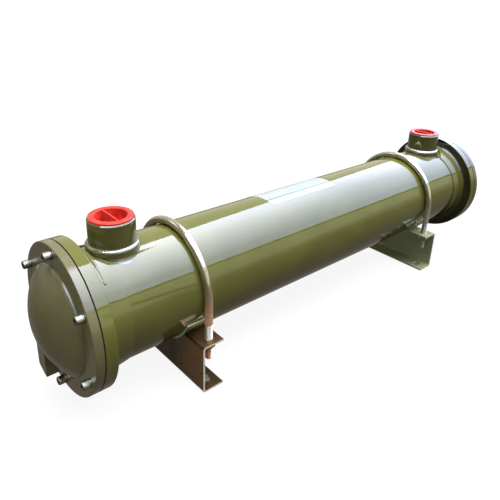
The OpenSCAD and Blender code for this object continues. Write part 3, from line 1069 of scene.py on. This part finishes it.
@dataclass
class OilPort:
    """Oil socket on the collar that is drawn out of the shell, with its weld and its plug.

    Attributes:
        port: inlet or outlet.
        edge: rounding of the socket's edges.
        bead_r: radius of the weld bead.
        bead_rise: height of the bead's middle above the top of the shell.
        collar_wall: wall of the collar below the bead.
        flare_r: radius of the flare from the collar onto the shell.
        flare_w: width of the flare.
        flare_drop: depth of the flare's upper edge below the top of the shell.
        sink: depth of the hidden foot in the shell and in the socket.
        ripples: number of ripples round the bead.
        ripple: height of a ripple.
        steps: number of sections round the socket.
        bead_steps: number of stretches across the bead.
        flare_steps: number of stretches across the flare.
    """

    port: Port
    edge: float = 0.6 * MM
    bead_r: float = 4.75 * MM
    bead_rise: float = 3.75 * MM
    collar_wall: float = 4 * MM
    flare_r: float = 11 * MM
    flare_w: float = 7.5 * MM
    flare_drop: float = 1.75 * MM
    sink: float = 1.5 * MM
    ripples: int = 46
    ripple: float = 0.1 * MM
    steps: int = 184
    bead_steps: int = 16
    flare_steps: int = 14

    @property
    def label(self) -> str:
        """First words of the names of the port's nodes."""
        return f"oil_{self.port.label}"

    def build(self, axis_z: float, shell_r: float) -> None:
        """Builds the socket, the collar with its weld bead, and the plug.

        Args:
            axis_z: height of the shell's axis.
            shell_r: radius of the shell.
        """
        # The socket takes the darker copy of the enamel: painted shade on its walls.
        socket = round_node(f"{self.label}_socket", [OLIVE_SOCKET_SHADED], self.edge)
        low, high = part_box(f"{self.label}_socket")
        socket_r = (high.x - low.x) / 2
        bm = bmesh.new()
        draw_profile(bm, self.section(socket_r, shell_r), closed=True)
        spin_round(bm, self.steps)
        bead = Vector((0, 0, shell_r + self.bead_rise))
        for vert in bm.verts:
            turn = math.atan2(vert.co.y, vert.co.x)
            core = bead + socket_r * Vector((math.cos(turn), math.sin(turn), 0))
            if vert.co.z > shell_r:
                vert.co += (vert.co - core) * self.ripple / self.bead_r * math.sin(self.ripples * turn)
            vert.co.z = max(vert.co.z, math.sqrt(shell_r ** 2 - vert.co.y ** 2) - self.sink)
        bmesh.ops.translate(bm, vec=((low.x + high.x) / 2, 0, axis_z), verts=bm.verts[:])
        # The collar takes the darker copy of the enamel: painted shade.
        publish(bm, f"{self.label}_collar", [OLIVE_WELD_SHADED], [f"{self.label}_weld"])
        plug = TransportPlug(f"{self.label}_plug", Outward.UP).build()
        socket.visible_glossy = False
        plug.visible_glossy = False

    def section(self, socket_r: float, shell_r: float) -> list[tuple[float, float]]:
        """Gives the half section of bead, collar and flare, above the shell's axis.

        Args:
            socket_r: outer radius of the socket.
            shell_r: radius of the shell.

        Returns:
            Pairs of radius and height, round the section.
        """
        bead_z = shell_r + self.bead_rise
        flare_z = shell_r - self.flare_drop
        collar_r = socket_r + self.collar_wall
        inner_r = socket_r - self.sink
        meet = math.degrees(math.acos(self.collar_wall / self.bead_r))
        sweep = math.degrees(math.acos(1 - self.flare_w / self.flare_r))
        foot_z = shell_r / 2
        return [
            (inner_r, bead_z + self.bead_r),
            *arc((socket_r, bead_z), self.bead_r, 90, -meet, self.bead_steps),
            *arc((collar_r + self.flare_r, flare_z), self.flare_r, 180, 180 + sweep, self.flare_steps),
            (collar_r + self.flare_w, foot_z),
            (inner_r, foot_z),
        ]


@dataclass
class CapScrew:
    """Socket head screw on a washer.

    Attributes:
        node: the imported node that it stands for.
        outward: the way that the head looks.
        head_d: diameter of the head.
        head_h: height of the head.
        washer_d: diameter of the washer.
        washer_t: thickness of the washer.
        washer_edge: rounding of the washer's edges.
        key: width across flats of the socket.
        key_depth: depth of the socket.
        edge: rounding of the head's top edge.
        edge_steps: number of stretches across that rounding.
        coat: thickness of the paint on it.
        teeth: number of grip teeth round the head.
        tooth: depth of a grip tooth.
    """

    node: str
    outward: Outward
    head_d: float = 11.5 * MM
    head_h: float = 9 * MM
    washer_d: float = 13 * MM
    washer_t: float = 1.6 * MM
    washer_edge: float = 0.352 * MM
    key: float = 5 * MM
    key_depth: float = 4 * MM
    edge: float = 1.4 * MM
    edge_steps: int = 4
    coat: float = 0.3 * MM
    teeth: int = 36
    tooth: float = 0.16 * MM

    def build(self) -> None:
        """Builds the washer and the head, and sets them on the cover."""
        low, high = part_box(self.node)
        top = self.washer_t + self.head_h + self.coat
        bm = bmesh.new()
        bore_r = self.head_d / 2 - self.edge
        rim = self.washer_edge
        rim_r = self.washer_d / 2 - rim
        draw_profile(bm, [
            (bore_r, 0),
            *arc((rim_r, rim), rim, -90, 0, 3),
            *arc((rim_r, self.washer_t - rim), rim, 0, 90, 3),
            (bore_r, self.washer_t),
        ], closed=True)
        spin_round(bm, 2 * self.teeth)
        self.add_head(bm, top)
        centre = middle(self.node)
        reach = top - self.coat
        face = high.x - reach if self.outward is Outward.RIGHT else low.x + reach
        place = Matrix.Translation((face, centre.y, centre.z)) @ self.outward.turn()
        bmesh.ops.transform(bm, matrix=place, verts=bm.verts[:])
        publish(bm, f"{self.node}_head", [SCREW_PAINT], [self.node])

    def add_head(self, bm: bmesh.types.BMesh, top: float) -> None:
        """Adds the toothed head with its hexagon socket.

        Args:
            bm: the screw's shape.
            top: height of the head's top above the cover.
        """
        radius = self.head_d / 2 + self.coat
        count = 2 * self.teeth
        ring = bmesh.ops.create_circle(bm, cap_ends=False, segments=count, radius=radius)["verts"]
        bmesh.ops.translate(bm, vec=(0, 0, self.washer_t), verts=ring)
        for vert in ring[::2]:
            bmesh.ops.scale(bm, vec=(1 - self.tooth / radius, 1 - self.tooth / radius, 1), verts=[vert])
        edges = edges_at(ring)
        height, size = self.washer_t, 1.0
        for drop, level in arc((self.edge, top - self.edge), self.edge, 180, 90, self.edge_steps):
            share = 1 - drop / radius
            made = bmesh.ops.extrude_edge_only(bm, edges=edges)["geom"]
            edges = edges_in(made)
            bmesh.ops.translate(bm, vec=(0, 0, level - height), verts=verts_in(made))
            bmesh.ops.scale(bm, vec=(share / size, share / size, 1), verts=verts_in(made))
            height, size = level, share
        corner_r = self.key / 2 / math.cos(math.pi / 6)
        hexagon = bmesh.ops.create_circle(bm, cap_ends=False, segments=6, radius=corner_r)["verts"]
        bmesh.ops.translate(bm, vec=(0, 0, top), verts=hexagon)
        rim = edges_at(hexagon)
        bmesh.ops.bridge_loops(bm, edges=edges + rim)
        made = bmesh.ops.extrude_edge_only(bm, edges=rim)["geom"]
        bmesh.ops.translate(bm, vec=(0, 0, -self.key_depth), verts=verts_in(made))
        bmesh.ops.contextual_create(bm, geom=edges_in(made))


@dataclass
class EndCover:
    """Cast cover with its gasket and its ring of screws.

    Attributes:
        end: the end that it closes.
        screws: number of screws in the ring.
        edge: rounding of the casting's edges.
    """

    end: End
    screws: int = 6
    edge: float = 1.2 * MM

    def build(self) -> None:
        """Builds the painted casting and the screws."""
        round_node(f"{self.end.label}_cover", [OLIVE_CAST], self.edge)
        outward = Outward.LEFT if self.end is End.RETURN else Outward.RIGHT
        for number in range(1, self.screws + 1):
            CapScrew(f"{self.end.label}_screw_{number}", outward).build()

    def dress(self) -> None:
        """Colours the gasket."""
        dress_node(f"{self.end.label}_gasket", GASKET_FIBRE)


@dataclass
class WaterPort:
    """Water socket of the channel cover, closed by a plug.

    Attributes:
        port: inlet or outlet.
    """

    port: Port

    def build(self) -> None:
        """Builds the plug."""
        TransportPlug(f"water_{self.port.label}_plug", Outward.RIGHT).build()


@dataclass
class UBolt:
    """Round rod bent over the shell, with a thread on each leg.

    Attributes:
        end: the end of the shell that it goes over.
        thread_len: length of the thread above the leg's end.
        pitch: pitch of the thread.
        thread_h: height of the thread.
        thread_sink: depth of the thread's foot in the leg.
        thread_crest: where on the pitch the thread's crest starts and ends.
        thread_foot: share of the pitch that the thread's foot takes.
        tip: chamfer at the leg's end.
        rod_finish_end: length of the leg's end that takes the rod's finish instead of the thread's.
        sides: number of faces round the rod.
        bend_steps: number of stretches over the shell.
    """

    end: End
    thread_len: float = 59 * MM
    pitch: float = 1.75 * MM
    thread_h: float = 0.85 * MM
    thread_sink: float = 0.255 * MM
    thread_crest: tuple[float, float] = (0.38, 0.52)
    thread_foot: float = 0.9
    tip: float = 1.2 * MM
    rod_finish_end: float = 24 * MM
    sides: int = 32
    bend_steps: int = 64

    @property
    def node(self) -> str:
        """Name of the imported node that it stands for."""
        return f"{self.end.label}_u_bolt"

    def build(self, axis_z: float) -> None:
        """Sweeps the plain rod over the shell and adds the threads.

        Args:
            axis_z: height of the shell's axis.
        """
        low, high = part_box(self.node)
        rod_r = (high.x - low.x) / 2
        bend_r = high.y - rod_r
        x = (low.x + high.x) / 2
        thread_top = low.z + self.thread_len
        bm = bmesh.new()
        ring = bmesh.ops.create_circle(bm, cap_ends=True, segments=self.sides, radius=rod_r)["verts"]
        bmesh.ops.translate(bm, vec=(x, -bend_r, thread_top), verts=ring)
        raised = self.draw_out(bm, edges_at(ring), axis_z - thread_top)
        swept = bmesh.ops.spin(bm, geom=raised, cent=(x, 0, axis_z), axis=(1, 0, 0), angle=-math.pi,
                               steps=self.bend_steps, use_duplicate=False)
        lowered = self.draw_out(bm, edges_in(swept["geom_last"]), thread_top - axis_z)
        bmesh.ops.contextual_create(bm, geom=edges_in(lowered))
        for side in (-1, 1):
            self.add_thread(bm, Vector((x, side * bend_r, low.z)), rod_r)
        # Each rod takes its end's copy of the plated finish: painted light on the lower legs.
        publish(bm, f"{self.node}_rod", [ROD_PAINTED_LIGHT[self.end], THREAD_ZINC], [self.node])

    @staticmethod
    def draw_out(bm: bmesh.types.BMesh, edges: list[bmesh.types.BMEdge], rise: float) -> list[Any]:
        """Draws a ring of edges straight up or down.

        Args:
            bm: the rod's shape.
            edges: the ring.
            rise: length of the straight stretch, negative for down.

        Returns:
            The vertices and edges of the ring at its other end.
        """
        made = bmesh.ops.extrude_edge_only(bm, edges=edges)["geom"]
        verts = verts_in(made)
        bmesh.ops.translate(bm, vec=(0, 0, rise), verts=verts)
        return verts + [edge for edge in edges_in(made) if set(edge.verts) <= set(verts)]

    def add_thread(self, bm: bmesh.types.BMesh, foot: Vector, rod_r: float) -> None:
        """Adds the core of a threaded leg and the ridge that winds up it.

        Args:
            bm: the U-bolt's shape.
            foot: lowest point of the leg's axis.
            rod_r: radius of the rod.
        """
        root_r = rod_r - self.thread_h
        leg = bmesh.new()
        draw_profile(leg, [(0, 0), (root_r - self.tip / 2, 0), (root_r, self.tip), (root_r, self.thread_len)])
        spin_round(leg, self.sides)
        foot_r = root_r - self.thread_sink
        ridge = bmesh.new()
        draw_profile(ridge, [
            (foot_r, self.tip),
            *((rod_r, self.tip + self.pitch * share) for share in self.thread_crest),
            (foot_r, self.tip + self.pitch * self.thread_foot),
        ], closed=True)
        turns = int((self.thread_len - 2 * self.tip) / self.pitch)
        bmesh.ops.spin(ridge, geom=ridge.verts[:] + ridge.edges[:], cent=(0, 0, 0), axis=(0, 0, 1),
                       angle=TURN * turns, steps=self.sides * turns, dvec=(0, 0, self.pitch / self.sides),
                       use_duplicate=False)
        bmesh.ops.holes_fill(ridge, edges=ridge.edges[:], sides=4)
        for shape in (leg, ridge):
            bmesh.ops.recalc_face_normals(shape, faces=shape.faces[:])
            for face in shape.faces:
                face.material_index = int(face.calc_center_median().z > self.rod_finish_end)
            bmesh.ops.translate(shape, vec=foot, verts=shape.verts[:])
            carried = bpy.data.meshes.new("thread_stretch")
            shape.to_mesh(carried)
            shape.free()
            bm.from_mesh(carried)
            bpy.data.meshes.remove(carried)


@dataclass
class Mounting:
    """Folded bracket with its saddle strip, U-bolt and nuts.

    Attributes:
        end: the end of the shell that it carries.
        edge: rounding of the sheet's and the nuts' edges.
    """

    end: End
    edge: float = 0.7 * MM

    def build(self, axis_z: float) -> None:
        """Builds the bracket, the saddle, the nuts and the U-bolt.

        Args:
            axis_z: height of the shell's axis.
        """
        axis = Vector((0, 0, axis_z))

        # The cut ends take the near-white finish: bare steel with a painted highlight.
        def is_end(face: bmesh.types.BMFace) -> bool:
            """Says whether a face of the bracket is a cut end of its sheet."""
            return abs(face.normal.y) > CUT_ON

        def is_rim(face: bmesh.types.BMFace) -> bool:
            """Says whether a face of the saddle is a cut edge of its strip."""
            spoke = (face.calc_center_median() - axis) * Vector((0, 1, 1))
            return abs(face.normal.dot(spoke.normalized())) < FACE_ON

        label = self.end.label
        # Each bracket takes its end's copy of the plated finish: painted light and shade.
        round_node(f"{label}_bracket", [BRACKET_PAINTED_LIGHT[self.end], CUT_ZINC_HIGHLIGHT], self.edge, is_end)
        # The saddle's cut edges take the pale finish: painted highlight.
        round_node(f"{label}_saddle", [SADDLE_ZINC, SADDLE_CUT_HIGHLIGHT], self.edge, is_rim)
        for side in ("front", "rear"):
            round_node(f"{label}_nut_{side}", [NUT_ZINC], self.edge)
        UBolt(self.end).build(axis_z)


@dataclass
class View:
    """Camera that stands where the picture was taken.

    Attributes:
        place: where it stands.
        heading_deg: turn to the right of +Y.
        dip_deg: tilt below the horizon.
        roll_deg: turn about its own axis, right side up.
        focal_px: focal length in pixels of the picture.
        centre_px: where its axis meets the picture, from the top left.
        picture_px: width and height of the picture.
        sensor_mm: width of the sensor.
    """

    place: tuple[float, float, float] = (-0.6709, -0.5968, 0.5589)
    heading_deg: float = 42.906
    dip_deg: float = 21.906
    roll_deg: float = 2.514
    focal_px: float = 525.6
    centre_px: tuple[float, float] = (258.65, 196.52)
    picture_px: float = 500.0
    sensor_mm: float = 36.0

    def build(self) -> None:
        """Makes the camera and gives it to the scene."""
        data = bpy.data.cameras.new("camera")
        data.sensor_width = self.sensor_mm
        data.lens = self.focal_px / self.picture_px * self.sensor_mm
        data.shift_x = (self.picture_px / 2 - self.centre_px[0]) / self.picture_px
        data.shift_y = (self.centre_px[1] - self.picture_px / 2) / self.picture_px
        camera = bpy.data.objects.new("camera", data)
        turn = Matrix.Rotation(-math.radians(self.heading_deg), 4, "Z")
        tilt = Matrix.Rotation(math.pi / 2 - math.radians(self.dip_deg), 4, "X")
        roll = Matrix.Rotation(math.radians(self.roll_deg), 4, "Z")
        camera.matrix_world = Matrix.Translation(self.place) @ turn @ tilt @ roll
        bpy.context.scene.collection.objects.link(camera)
        bpy.context.scene.camera = camera


@dataclass
class Studio:
    """Pale floor, soft light and the large overhead panel that shows in the paint.

    Attributes:
        floor_r: radius of the floor.
        floor_glow_and_foot_shadow: brightness of the floor, and of the painted shadow on the floor below the
            feet.
        floor_skin: colour that the light finds on the floor.
        foot_shadow_margin: how far the painted shadow stays within the feet.
        panel_z: height of the panel.
        panel_outline: corners of the panel.
        wall_outline: corners, along X and up, of the pale wall below the panel's front edge.
        wall_y: place of that wall.
        wall_glow: colour of that wall.
        bar_outline: corners of a dark bar before that wall.
        gap_outline: corners of the dark gap between that wall and the panel.
        bar_step: how far the bar and the gap stand before that wall.
        card_outline: corners of a small bright card behind the near end.
        card_power: brightness of that card.
        panel_depth: from where to where across the panel its glow grows.
        panel_power: brightness of the panel where it is dimmest and where it glows most.
        panel_dim: colour of the panel where it is dimmest.
        panel_glow: colour of the panel where it glows most.
        panel_fade: where the glow starts and ends to fade along X, and what is left of it.
        room_light: colours of the room that lights the object, from below to above.
        room_gloss: colours of the room that shows in its gloss, from below to above.
        room_along: brightness of that room towards -X and towards +X.
        room_behind: brightness of that room beside and behind the object.
        key_power: strength of the wide light from above.
        key_spread_deg: angle that it fills in the sky.
        key_colour: its colour.
        key_place: where it shines from, on the middle of the floor.
        fill_power: power of the small light beside the near end.
        fill_size: width of that light.
        fill_colour: its colour.
        fill_place: where it stands.
    """

    floor_r: float = 120.0
    floor_glow_and_foot_shadow: tuple[float, float] = (0.9, 0.06)
    floor_skin: RGB = (0.1, 0.1, 0.1)
    foot_shadow_margin: float = 2 * MM
    panel_z: float = 2.6
    panel_outline: Sequence[tuple[float, float]] = ((-2.3, -4.1), (9.0, -4.1), (9.0, 4.74), (0.95, 0.75),
                                                    (0.75, 1.3), (0.62, 1.05), (0.46, 0.2), (-2.3, 0.2))
    wall_outline: Sequence[tuple[float, float]] = ((-1.0, 0.2), (9.0, 0.75), (9.0, 2.4), (-1.0, 2.4))
    wall_y: float = -4.1
    wall_glow: RGB = (1.35, 1.4, 1.15)
    bar_outline: Sequence[tuple[float, float]] = ((1.08, 1.16), (2.06, 0.22), (2.06, 0.58), (1.08, 1.58))
    gap_outline: Sequence[tuple[float, float]] = ((-2.3, 2.28), (9.0, 2.2), (9.0, 2.6), (-2.3, 2.6))
    bar_step: float = 10 * MM
    card_outline: Sequence[tuple[float, float]] = ((-2.7, 2.0), (-1.3, 2.0), (-1.3, 3.4), (-2.7, 3.4))
    card_power: float = 3.5
    panel_depth: tuple[float, float] = (-2.7, 0.7)
    panel_power: tuple[float, float] = (5.5, 17.0)
    panel_dim: RGB = (0.5, 0.6, 1.0)
    panel_glow: RGB = (0.8, 0.82, 1.0)
    panel_fade: tuple[float, float, float] = (0.7, 2.8, 0.36)
    room_light: Sequence[tuple[float, RGB]] = ((0.0, (0.03, 0.028, 0.024)), (0.5, (0.12, 0.115, 0.105)),
                                               (1.0, (0.5, 0.5, 0.5)))
    room_gloss: Sequence[tuple[float, RGB]] = ((0.0, (0.2, 0.17, 0.15)), (0.44, (0.2, 0.17, 0.15)),
                                               (0.52, (0.6, 0.58, 0.54)), (1.0, (0.6, 0.62, 0.66)))
    room_along: tuple[float, float] = (0.35, 1.65)
    room_behind: tuple[float, float] = (1.0, 1.3)
    key_power: float = 7.4
    key_spread_deg: float = 70.0
    key_colour: RGB = (1.0, 0.98, 0.92)
    key_place: tuple[float, float, float] = (1.6, -0.5, 6.0)
    fill_power: float = 3.0
    fill_size: float = 0.4
    fill_colour: RGB = (1.0, 0.93, 0.84)
    fill_place: tuple[float, float, float] = (-1.2, -0.35, 0.06)

    def build(self) -> None:
        """Builds the floor, the panel, the cards, the lights and the surroundings."""
        self.add_floor()
        self.add_panel()
        self.add_cards()
        self.add_lights()
        self.add_world()
        bpy.context.scene.view_settings.view_transform = "Standard"

    @staticmethod
    def emitter(name: str, shape: bmesh.types.BMesh) -> tuple[bpy.types.Object, NodeSheet]:
        """Makes a stage object with an empty material.

        Args:
            name: the object's name.
            shape: its shape; it is freed here.

        Returns:
            The object and its material's node sheet.
        """
        mesh = bpy.data.meshes.new(name)
        shape.to_mesh(mesh)
        shape.free()
        thing = bpy.data.objects.new(name, mesh)
        bpy.context.scene.collection.objects.link(thing)
        material = bpy.data.materials.new(name)
        material.use_nodes = True
        material.node_tree.nodes.clear()
        mesh.materials.append(material)
        return thing, NodeSheet(material.node_tree)

    def add_floor(self) -> None:
        """Adds the pale floor, bright by itself so that the shadow stays faint, with a painted shadow below
        the feet.
        """
        bm = bmesh.new()
        bmesh.ops.create_circle(bm, cap_ends=True, segments=96, radius=self.floor_r)
        floor, sheet = self.emitter("floor", bm)
        glow = sheet.add("Emission", Color=(1, 1, 1, 1))
        low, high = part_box("channel_bracket")
        foot = (high - low) / 2 - Vector((self.foot_shadow_margin,) * 3)
        split = sheet.axes()
        # Painted shadow: the floor within each foot's outline glows far less.
        along = sheet.math("SUBTRACT", sheet.math("ABSOLUTE", split.outputs["X"]), (low.x + high.x) / 2)
        near = sheet.math("LESS_THAN", sheet.math("ABSOLUTE", along), foot.x)
        across = sheet.math("LESS_THAN", sheet.math("ABSOLUTE", split.outputs["Y"]), foot.y)
        below = sheet.math("MULTIPLY", near, across)
        sheet.join(sheet.spread(below, (0, 1), self.floor_glow_and_foot_shadow), glow.inputs["Strength"])
        skin = sheet.add("BsdfDiffuse", Color=(*self.floor_skin, 1))
        both = sheet.add("AddShader")
        sheet.join(glow.outputs[0], both.inputs[0])
        sheet.join(skin.outputs[0], both.inputs[1])
        sheet.close(both)
        floor.visible_glossy = False
        floor.visible_diffuse = False

    def add_panel(self) -> None:
        """Adds the overhead panel, brightest near its rear edge above the near end."""
        sheet = self.card("overhead_panel", [(x, y, self.panel_z) for x, y in self.panel_outline])
        split = sheet.axes()
        start, stop, left = self.panel_fade
        depth = sheet.spread(split.outputs["Y"], self.panel_depth, (0, 1))
        far = sheet.spread(split.outputs["X"], (start, stop), (1.0, left))
        mask = sheet.math("MULTIPLY", depth, far)
        glow = sheet.add("Emission")
        sheet.join(sheet.blend(mask, self.panel_dim, self.panel_glow), glow.inputs["Color"])
        sheet.join(sheet.spread(mask, (0, 1), self.panel_power), glow.inputs["Strength"])
        sheet.close(glow)

    def card(self, name: str, corners: Iterable[Sequence[float]]) -> NodeSheet:
        """Makes a flat stage card that shows only in the object's gloss.

        Args:
            name: the card's name.
            corners: its corners, in order.

        Returns:
            The node sheet of its empty material.
        """
        bm = bmesh.new()
        bmesh.ops.contextual_create(bm, geom=[bm.verts.new(corner) for corner in corners])
        card, sheet = self.emitter(name, bm)
        card.visible_camera = False
        card.visible_diffuse = False
        card.visible_shadow = False
        return sheet

    def add_cards(self) -> None:
        """Adds the pale front wall with the dark bar and gap before it, and the bright card at the back."""
        black = (0.0, 0.0, 0.0)
        before = self.wall_y + self.bar_step
        for name, colour, corners in (
            ("front_wall", self.wall_glow, [(x, self.wall_y, z) for x, z in self.wall_outline]),
            ("dark_bar", black, [(x, before, z) for x, z in self.bar_outline]),
            ("dark_gap", black, [(x, before, z) for x, z in self.gap_outline]),
            ("rear_card", (self.card_power,) * 3, [(x, y, self.panel_z) for x, y in self.card_outline]),
        ):
            sheet = self.card(name, corners)
            sheet.close(sheet.add("Emission", Color=(*colour, 1)))

    def add_lights(self) -> None:
        """Adds a wide soft light from above and a small one beside the near end."""
        key = bpy.data.lights.new("key", "SUN")
        key.angle = math.radians(self.key_spread_deg)
        fill = bpy.data.lights.new("fill", "AREA")
        fill.size = self.fill_size
        for data, power, colour, place, aim in (
            (key, self.key_power, self.key_colour, self.key_place, Vector((0, 0, 0))),
            (fill, self.fill_power, self.fill_colour, self.fill_place, middle("return_cover")),
        ):
            data.energy = power
            data.color = colour
            lamp = bpy.data.objects.new(data.name, data)
            look = (aim - Vector(place)).to_track_quat("-Z", "Y")
            lamp.matrix_world = Matrix.Translation(place) @ look.to_matrix().to_4x4()
            lamp.visible_glossy = False
            bpy.context.scene.collection.objects.link(lamp)

    @staticmethod
    def ramp(sheet: NodeSheet, value: bpy.types.NodeSocket, stops: Sequence[tuple[float, RGB]]
             ) -> bpy.types.NodeSocket:
        """Runs a value through a row of colours.

        Args:
            sheet: the node sheet.
            value: socket that runs from 0 to 1.
            stops: places and colours, in order.

        Returns:
            The socket of the colour.
        """
        node = sheet.add("ValToRGB")
        sheet.join(value, node.inputs["Fac"])
        elements = node.color_ramp.elements
        while len(elements) < len(stops):
            elements.new(0.5)
        for element, (at, colour) in zip(elements, stops):
            element.position = at
            element.color = (*colour, 1)
        return node.outputs["Color"]

    def add_world(self) -> None:
        """Adds surroundings: white behind the picture, a dim room for the light, a lit room for the gloss."""
        world = bpy.data.worlds.new("surroundings")
        world.use_nodes = True
        world.node_tree.nodes.clear()
        sheet = NodeSheet(world.node_tree)
        split = sheet.axes("Generated")
        height = sheet.spread(split.outputs["Z"], (-1, 1), (0, 1))
        light = sheet.add("Background")
        sheet.join(self.ramp(sheet, height, self.room_light), light.inputs["Color"])
        gloss = sheet.add("Background")
        sheet.join(self.ramp(sheet, height, self.room_gloss), gloss.inputs["Color"])
        along = sheet.spread(split.outputs["X"], (-1, 1), self.room_along)
        behind = sheet.spread(split.outputs["Y"], (0, 1), self.room_behind)
        sheet.join(sheet.math("MULTIPLY", along, behind), gloss.inputs["Strength"])
        white = sheet.add("Background", Color=(1, 1, 1, 1))
        path = sheet.add("LightPath")
        shown = light
        for ray, other in (("Is Glossy Ray", gloss), ("Is Camera Ray", white)):
            pick = sheet.add("MixShader")
            sheet.join(path.outputs[ray], pick.inputs["Fac"])
            sheet.join(shown.outputs[0], pick.inputs[1])
            sheet.join(other.outputs[0], pick.inputs[2])
            shown = pick
        sheet.close(shown, "OutputWorld")
        bpy.context.scene.world = world


def clear_start_scene() -> None:
    """Removes whatever the scene held before the frame was loaded."""
    kept = set(frame["nodes"].values()) | set(frame["bodies"].values())
    for thing in list(bpy.context.scene.objects):
        if thing not in kept:
            bpy.data.objects.remove(thing)


def main() -> None:
    """Builds the sub-assemblies in order, then the studio and the view."""
    logging.basicConfig(level=logging.INFO, format="%(message)s")
    clear_start_scene()
    shell = Shell()
    shell.build()
    shell.dress()
    for port in Port:
        OilPort(port).build(shell.axis_z, shell.radius)
        WaterPort(port).build()
    for end in End:
        cover = EndCover(end)
        cover.build()
        cover.dress()
        Mounting(end).build(shell.axis_z)
    Studio().build()
    View().build()


if __name__ == "__main__":
    main()
